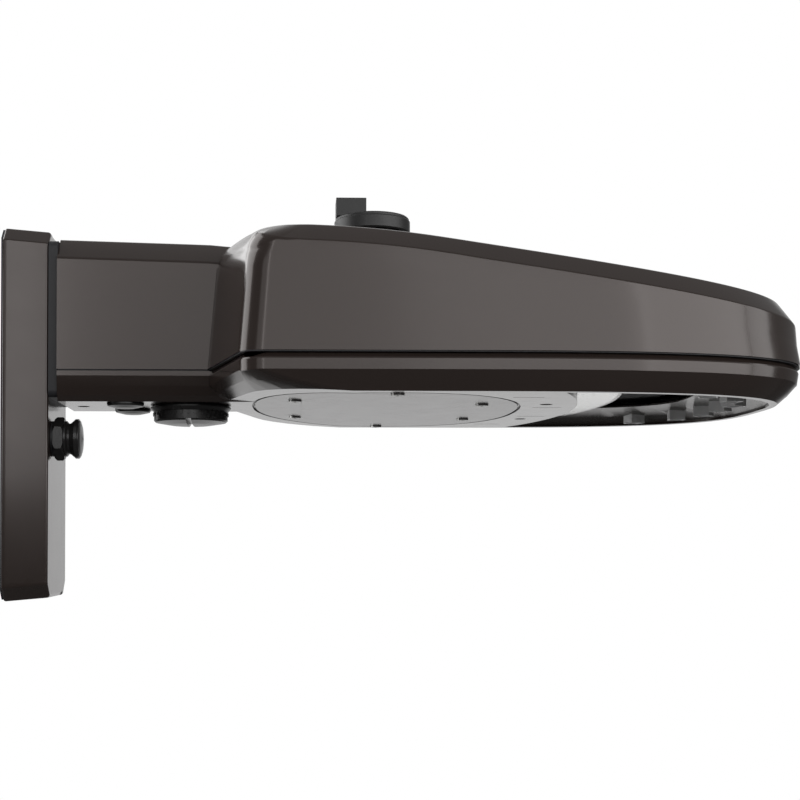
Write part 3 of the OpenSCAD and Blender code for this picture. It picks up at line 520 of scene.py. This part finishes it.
def both_halves(points):
    """A half outline and its mirror image as one closed outline."""
    return np.concatenate([points, points[-2:0:-1] * [1, -1]])


REAR_CORNER = (REAR_CORNER_X, HEAD_HALF - CORNER_INSET)
seam_outline = both_halves(half_outline(SHOULDER_X, REAR_CORNER, CORNER_RADIUS, NOSE_TIP_X, HEAD_HALF))
top_outline = both_halves(half_outline(SHOULDER_X, REAR_CORNER, TOP_CORNER_RADIUS, NOSE_TIP_X, HEAD_HALF))
bottom_outline = both_halves(half_outline(SHOULDER_X + BOTTOM_REAR,
    (REAR_CORNER_X + BOTTOM_CORNER, HEAD_HALF - BOTTOM_SIDE), BOTTOM_RADIUS, NOSE_TIP_X - BOTTOM_TIP,
    HEAD_HALF - BOTTOM_SIDE))

# Upper casting


def drawn_in(points, distance, rear_extra=0, lean=0):
    """An outline scaled towards the nose's start and the middle line, so that it lies inwards by the
    distance, by a further distance at the rear, and by a lean that grows from the nose's start back."""
    x = points[:, 0] - NOSE_START_X
    share = np.where(x > 0, 1 - distance / FRONT_ROOM, 1 - (distance + rear_extra) / REAR_ROOM)
    shift = np.where(x > 0, 0, -lean * x / REAR_ROOM)
    return np.stack([NOSE_START_X + x * share + shift, points[:, 1] * (1 - distance / HEAD_HALF)], -1)


def top_height(x, y):
    """Height of the top: crest less a fall that bends from level into an even slope, plus a crown
    across, less a roll towards the rear corners."""
    bend = TOP_SLOPE / 2 / (SLOPE_FULL_X - SLOPE_START_X)
    fall = np.where(x < SLOPE_START_X, 0, np.where(x < SLOPE_FULL_X, bend * (x - SLOPE_START_X) ** 2,
        TOP_SLOPE * (x - (SLOPE_START_X + SLOPE_FULL_X) / 2)))
    side = (y / HEAD_HALF) ** 2
    roll = np.where(x < ROLL_START_X, (ROLL_START_X - x) ** 2 / 2 / ROLL_RADIUS, 0)
    return CREST_Z - fall + CROWN * (1 - side) - roll * side ** ROLL_POWER


def top_ring(distance, drop, rear_distance, rear_drop, inner=0):
    """Ring of points drawn in by a distance and lowered from the top's height by a drop, which grows
    towards the middle of the nose. The rear follows its own distance and, behind REAR_ROUND_X, its own
    drop. Within TOP_BLEND the outline goes over from the seam's to the top's with its wider corners. The
    inner distance moves the whole ring further in and down."""
    share = min(1, max(0, distance - SIDE_INSET) / TOP_BLEND)
    plan = drawn_in(seam_outline * (1 - share) + top_outline * share, distance + inner,
        rear_distance - distance, REAR_LEAN * min(1, distance / LEAN_WIDTH))
    rear = np.clip((REAR_ROUND_X - plan[:, 0]) / REAR_ROUND, 0, 1)
    round_nose = np.where(plan[:, 0] > NOSE_START_X, NOSE_DROP * (1 - (plan[:, 1] / HEAD_HALF) ** 2), 0)
    fall = drop * (1 - rear) * (1 + round_nose) + rear_drop * rear
    height = top_height(plan[:, 0], plan[:, 1]) - fall - inner
    return np.concatenate([plan, height[:, None]], 1)


def head_edge():
    """Rows of distance in and drop at the side, beside those at the rear, where they follow a quarter of a
    circle and then the level top."""
    side = rounded_path(BAND_CORNERS, BAND_RADII, BAND_STEPS)
    turn = np.linspace(0, math.pi / 2, len(side) - 1)
    rear = np.stack([SIDE_INSET + REAR_ROUND * (1 - np.cos(turn)), REAR_ROUND * (1 - np.sin(turn))], -1)
    return np.concatenate([side, np.concatenate([rear, [[side[-1, 0] + REAR_FURTHER, 0]]])], 1)


def head_shell(inner):
    """Rings from the seam up the side, round the band and over the top to near the middle."""
    low = drawn_in(seam_outline, inner)
    edge = head_edge()[::INNER_RING_STEP if inner else 1]
    high = top_ring(*edge[0], inner)
    rings = []
    for share in np.linspace(0, 1, SIDE_RINGS + 1)[:-1]:
        rings.append(np.concatenate([low + (high[:, :2] - low) * share,
            (SEAM_TOP + (high[:, 2:] - SEAM_TOP) * share)], 1))
    rings += [top_ring(*row, inner) for row in edge]
    rings += [top_ring(inset, 0, inset + REAR_FURTHER, 0, inner) for inset in CAP_INSETS]
    return rings


points, faces = ring_stack(head_shell(0)[::-1] + head_shell(CASTING_WALL))
painted_piece("upper_head", points, faces, ["upper_housing"])


def arm_section(x, wall):
    """Arm's outline across: upright sides and rounded bevels, the top falling along the arm."""
    half = ARM_HALF - wall
    along = (x - NECK_X) / (SHOULDER_X - NECK_X)
    top = ARM_TOP - wall - ARM_FALL * along - ARM_BLEND * max(0, x - SHOULDER_X)
    bevel = ARM_BEVEL - wall * INNER_BEVEL_SHARE
    path = rounded_path([(half, SEAM_TOP), (half, top - bevel), (half - bevel, top), (0, top)],
        [ARM_ROUNDING, ARM_ROUNDING], BEVEL_STEPS)
    return at_x(x, np.concatenate([path, (path * [-1, 1])[::-1]]))


arm_rings = [arm_section(x, 0) for x in np.linspace(NECK_X, SHOULDER_X + ARM_REACH, ARM_RINGS)]
arm_rings += [arm_section(x, CASTING_WALL)
    for x in np.linspace(SHOULDER_X + ARM_REACH, NECK_X + ARM_END_WALL, INNER_ARM_RINGS)]
points, faces = ring_stack(arm_rings)
painted_piece("upper_arm", points, faces)


def turned(profile, centre):
    """Points and faces of a closed profile of (radius, height) turned about an upright axis."""
    profile = np.asarray(profile, float)
    angle = np.linspace(0, 2 * np.pi, AROUND, endpoint=False)
    rings = np.stack([centre[0] + profile[:, :1] * np.cos(angle), centre[1] + profile[:, :1] * np.sin(angle),
        np.repeat(profile[:, 1:], AROUND, 1)], -1)
    return ring_stack(rings)


pad = rounded_path([(PAD_HOLE, PAD_TOP - PAD_HOLE_DEPTH), (PAD_HOLE, PAD_TOP),
    (CONTROL_RADIUS + PAD_MARGIN, PAD_TOP), (CONTROL_RADIUS + PAD_FLARE, PAD_TOP - PAD_FOOT)],
    PAD_RADII, PAD_STEPS)
points, faces = turned(pad, (CONTROL_X, 0))
painted_piece("control_pad", points, faces)

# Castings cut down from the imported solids, so that they keep their pockets, bosses and holes


def closed_mesh(name, skins, packed=None):
    """Mesh of closed skins (points in millimetres, faces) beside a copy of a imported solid's mesh, its
    doubles merged."""
    mesh = packed.copy() if packed else bpy.data.meshes.new(name)
    work = bmesh.new()
    for points, faces in skins:
        corners = [work.verts.new(Vector(p) * MM) for p in points]
        for face in faces:
            work.faces.new([corners[k] for k in face])
    bmesh.ops.recalc_face_normals(work, faces=work.faces)
    if packed:
        work.from_mesh(packed)
        bmesh.ops.remove_doubles(work, verts=work.verts, dist=MERGE_DISTANCE)
    work.to_mesh(mesh)
    work.free()
    return mesh


def carved(name, source, slot, skins, sharp=SHARP_ANGLE, filling=(), taller=1):
    """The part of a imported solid, made a little taller and with its filling, that lies inside fine closed
    skins. It replaces the solid."""
    block = closed_mesh(name, filling, nodes[source].data)
    block.transform(Matrix.Diagonal((1, 1, taller, 1)))
    uncut = bpy.data.objects.new("uncut", block)
    cutter = bpy.data.objects.new("cutter", closed_mesh("skin", skins))
    for obj in (uncut, cutter):
        bpy.context.scene.collection.objects.link(obj)
    common = uncut.modifiers.new("common part", "BOOLEAN")
    common.operation = "INTERSECT"
    common.solver = "EXACT"
    common.use_self = True
    common.object = cutter
    bpy.context.view_layer.update()
    mesh = bpy.data.meshes.new_from_object(uncut.evaluated_get(bpy.context.evaluated_depsgraph_get()))
    bpy.data.objects.remove(uncut)
    bpy.data.objects.remove(cutter)
    piece = add_piece(name, mesh, slot, [source], sharp)
    even = piece.modifiers.new("even shading", "WEIGHTED_NORMAL")
    even.keep_sharp = True


def skirt_ring(inset, height, share):
    """Ring of the lower casting at a height: the seam's outline drawn in, moved by a share towards the
    underside's outline, the nose drawn back by the square of its reach and by the depth below the seam."""
    plan = drawn_in(seam_outline, inset) * (1 - share) + drawn_in(bottom_outline, BOTTOM_INSET) * share
    reach = np.maximum(0, plan[:, 0] - NOSE_START_X) / FRONT_ROOM
    back = NOSE_TUCK * min(1, max(0, (SEAM_BOTTOM - height) / TUCK_DEPTH)) * reach ** 2
    return np.stack([plan[:, 0] - back, plan[:, 1], np.full(len(plan), float(height))], -1)


def lower_arm_rings():
    """Rings of the lower casting's arm: upright sides with a draft, then a bevel to the bottom."""
    half = np.array([(ARM_HALF - inset, height) for inset, height in LOWER_ARM])
    section = np.concatenate([half, half[::-1] * [-1, 1]])
    return [at_x(x, section) for x in LOWER_ARM_ENDS]


skirt_rings = [skirt_ring(*ring) for ring in SKIRT_RINGS]
carved("lower_casting", "lower_frame", "bronze_paint",
    [ring_stack(skirt_rings), ring_stack(lower_arm_rings())], CASTING_SHARP)


def plate_ring(x, inset):
    """Ring round the wall plate at a distance from the wall: a rectangle with its corners cut across at 45
    degrees and eased, drawn in by the inset."""
    wide = PLATE_HALF - inset
    high = PLATE_HIGH - inset - PLATE_DRAFT * max(0, x) / PLATE_DEPTH
    cut = PLATE_CUT - inset * (2 - math.sqrt(2))
    quarter = rounded_path([(0, high), (wide - cut, high), (wide, high - cut), (wide, 0)], PLATE_EASING,
        EASING_STEPS)
    half = np.concatenate([quarter, (quarter * [1, -1])[::-1][1:]])
    return at_x(x, np.concatenate([half, (half * [-1, 1])[::-1][1:-1]]))


def corner_bars():
    """Square bars that fill the hollow plate's four corners, so that their cut faces close."""
    low = np.array([PLATE_HALF - CORNER_BAR, PLATE_HIGH - CORNER_BAR])
    high = np.array([PLATE_HALF + BEYOND, PLATE_HIGH + BEYOND])
    bars = []
    for side in (-1, 1):
        for end in (-1, 1):
            square = np.array([low, (high[0], low[1]), high, (low[0], high[1])]) * [side, end]
            bars.append(ring_stack([at_x(x, square) for x in (GASKET + OFF_GASKET, PLATE_DEPTH + BEYOND)]))
    return bars


plate_rings = [plate_ring(x, inset) for x, inset in PLATE_BACK]
plate_rings += [plate_ring(PLATE_DEPTH - PLATE_FRONT_INSET - PLATE_EDGE * (1 - math.sin(turn)),
    PLATE_INSET + PLATE_EDGE * (1 - math.cos(turn)))
    for turn in np.linspace(0, math.pi / 2, PLATE_EDGE_RINGS)]
carved("fine_plate", "wall_plate", "bronze_paint", [ring_stack(plate_rings)], filling=corner_bars(),
    taller=PLATE_STRETCH)
carved("fine_gasket", "wall_gasket", "seals",
    [ring_stack([plate_ring(x, GASKET_INSET) for x in GASKET_SKIN])], taller=PLATE_STRETCH)

# Optics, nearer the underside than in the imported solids


def stretched(name, source, slot, level, share):
    """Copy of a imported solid, its doubles merged: heights above a level are multiplied by a share. It
    replaces the solid."""
    mesh = closed_mesh(name, [], nodes[source].data)
    mesh.transform(Matrix.Translation((0, 0, level * MM)) @ Matrix.Diagonal((1, 1, share, 1))
        @ Matrix.Translation((0, 0, -level * MM)))
    add_piece(name, mesh, slot, [source])


stretched("fine_deck", "optic_deck", "deck_paint", DECK_LOW, DECK_SHARE)
stretched("fine_cups", "reflector_cups", "bright_chrome", CUPS_HIGH, CUPS_SHARE)

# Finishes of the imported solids


def soften_nodes():
    """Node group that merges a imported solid's loose triangles and smooths all but its sharp edges."""
    group = bpy.data.node_groups.new("softened solid", "GeometryNodeTree")
    group.interface.new_socket("Geometry", in_out="INPUT", socket_type="NodeSocketGeometry")
    group.interface.new_socket("Geometry", in_out="OUTPUT", socket_type="NodeSocketGeometry")
    make = group.nodes.new
    start = make("NodeGroupInput")
    end = make("NodeGroupOutput")
    merge = make("GeometryNodeMergeByDistance")
    merge.inputs["Distance"].default_value = MERGE_DISTANCE
    smooth = make("GeometryNodeSetShadeSmooth")
    angle = make("GeometryNodeInputMeshEdgeAngle")
    compare = make("FunctionNodeCompare")
    compare.operation = "GREATER_THAN"
    compare.inputs[1].default_value = math.radians(SHARP_ANGLE)
    crease = make("GeometryNodeSetShadeSmooth")
    crease.domain = "EDGE"
    crease.inputs["Shade Smooth"].default_value = False
    link = group.links.new
    link(start.outputs[0], merge.inputs[0])
    link(merge.outputs[0], smooth.inputs[0])
    link(smooth.outputs[0], crease.inputs[0])
    link(angle.outputs[0], compare.inputs[0])
    link(compare.outputs[0], crease.inputs["Selection"])
    link(crease.outputs[0], end.inputs[0])
    return group


softened = soften_nodes()


def finish_node(name, slot):
    """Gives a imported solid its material, smooth curved faces and a small rounding on its edges."""
    solid = nodes[name]
    solid.data.materials.clear()
    solid.data.materials.append(finishes[slot])
    soft = solid.modifiers.new("smooth", "NODES")
    soft.node_group = softened
    edge = solid.modifiers.new("rounding", "BEVEL")
    edge.width = EDGE_ROUNDING * MM
    edge.segments = 2
    edge.limit_method = "ANGLE"
    edge.angle_limit = math.radians(ROUNDED_ANGLE)
    edge.harden_normals = True


for part in frame["record"]["subparts"]:
    finish_node(part["node"], part["material_slot"])

# Camera, lamps, floor and background


def aimed(obj, target):
    """Turns a camera or lamp towards a point."""
    obj.rotation_euler = (Vector(target) - obj.location).to_track_quat("-Z", "Y").to_euler()


def photo_camera():
    """Camera at the photograph's place, turned by its yaw and pitch from straight ahead."""
    yaw = math.radians(CAMERA_YAW)
    pitch = math.radians(CAMERA_PITCH)
    camera = bpy.data.objects.new("camera", bpy.data.cameras.new("camera"))
    bpy.context.scene.collection.objects.link(camera)
    camera.location = CAMERA_PLACE
    aimed(camera, camera.location + Vector((math.sin(yaw) * math.cos(pitch),
        math.cos(yaw) * math.cos(pitch), math.sin(pitch))))
    camera.data.lens = CAMERA_LENS
    camera.data.sensor_width = CAMERA_SENSOR
    camera.data.shift_x, camera.data.shift_y = CAMERA_SHIFT
    camera.data.clip_start = CAMERA_NEAR
    return camera


bpy.context.scene.camera = photo_camera()


def soft_panel(name, x, y, turn, low, high, width, level):
    """Upright soft panel that the camera doesn't see. Its power is its brightness times pi and its area."""
    lamp = bpy.data.objects.new(name, bpy.data.lights.new(name, "AREA"))
    middle = (low + high) / 2
    sideways = math.radians(turn)
    lamp.data.shape = "RECTANGLE"
    lamp.data.size = width
    lamp.data.size_y = high - low
    lamp.data.energy = level * math.pi * width * (high - low)
    lamp.visible_camera = False
    bpy.context.scene.collection.objects.link(lamp)
    lamp.location = (x, y, middle)
    aimed(lamp, (x - math.sin(sideways), y + math.cos(sideways), middle))


for panel in PANELS:
    soft_panel(*panel)


class Studio(Finish):
    """The world as a finish: it has a node tree and the same helpers."""

    def __init__(self, name):
        """Starts an empty world."""
        world = bpy.data.worlds.new(name)
        world.use_nodes = True
        self.tree = world.node_tree
        self.tree.nodes.clear()
        bpy.context.scene.world = world

    def light(self, colour):
        """Background of a colour or a grey value."""
        return self.node("ShaderNodeBackground", None, {"Color": colour, "Strength": 1.0})


def background():
    """White for the camera. Gloss and glass see the same white behind the object, and elsewhere the dim
    studio that gives the soft light: darker below the horizon than above it."""
    studio = Studio("studio")
    place = studio.node("ShaderNodeTexCoord", output="Generated")
    east = studio.node("ShaderNodeSeparateXYZ", None, {0: place}, output=0)
    north = studio.node("ShaderNodeSeparateXYZ", None, {0: place}, output=1)
    up = studio.node("ShaderNodeSeparateXYZ", None, {0: place}, output=2)
    room = studio.steps(up * 0.5 + 0.5, ROOM_STOPS)
    turn = studio.node("ShaderNodeMath", {"operation": "ARCTAN2"}, {0: east, 1: north})
    behind = studio.steps(turn * (0.5 / math.pi) + 0.5, BEHIND_STOPS)
    not_low = studio.steps(up * 0.5 + 0.5, HEIGHT_STOPS)
    camera_ray = studio.node("ShaderNodeLightPath", output="Is Camera Ray")
    glossy_ray = studio.node("ShaderNodeLightPath", output="Is Glossy Ray")
    glass_ray = studio.node("ShaderNodeLightPath", output="Is Transmission Ray")
    share = camera_ray + (glossy_ray + glass_ray) * behind * not_low
    mixed = studio.node("ShaderNodeMixShader", None,
        {0: share, 1: studio.light(room), 2: studio.light((1, 1, 1, 1))})
    studio.node("ShaderNodeOutputWorld", None, {"Surface": mixed})


background()


def pale_floor():
    """Floor well below the lamp, brighter to the camera than its light alone would make it, and clear when
    it is seen from below."""
    finish = Finish("floor")
    camera_ray = finish.node("ShaderNodeLightPath", output="Is Camera Ray")
    matt = finish.node("ShaderNodeBsdfDiffuse", None, {"Color": (FLOOR_TONE, FLOOR_TONE, FLOOR_TONE, 1)})
    glow = finish.node("ShaderNodeEmission", None, {"Strength": camera_ray * FLOOR_GLOW})
    above = finish.node("ShaderNodeAddShader", None, {0: matt, 1: glow})
    clear = finish.node("ShaderNodeBsdfTransparent")
    from_below = finish.node("ShaderNodeNewGeometry", output="Backfacing")
    either = finish.node("ShaderNodeMixShader", None, {0: from_below, 1: above, 2: clear})
    finish.node("ShaderNodeOutputMaterial", None, {"Surface": either})
    mesh = bpy.data.meshes.new("floor")
    corners = [(FLOOR_X - FLOOR_HALF, -FLOOR_HALF), (FLOOR_X + FLOOR_HALF, -FLOOR_HALF),
        (FLOOR_X + FLOOR_HALF, FLOOR_BACK), (FLOOR_X - FLOOR_HALF, FLOOR_BACK)]
    mesh.from_pydata([(x, y, FLOOR_Z) for x, y in corners], [], [(0, 1, 2, 3)])
    mesh.materials.append(finish.material)
    floor = bpy.data.objects.new("floor", mesh)
    bpy.context.scene.collection.objects.link(floor)


pale_floor()
bpy.context.scene.view_settings.view_transform = "Standard"
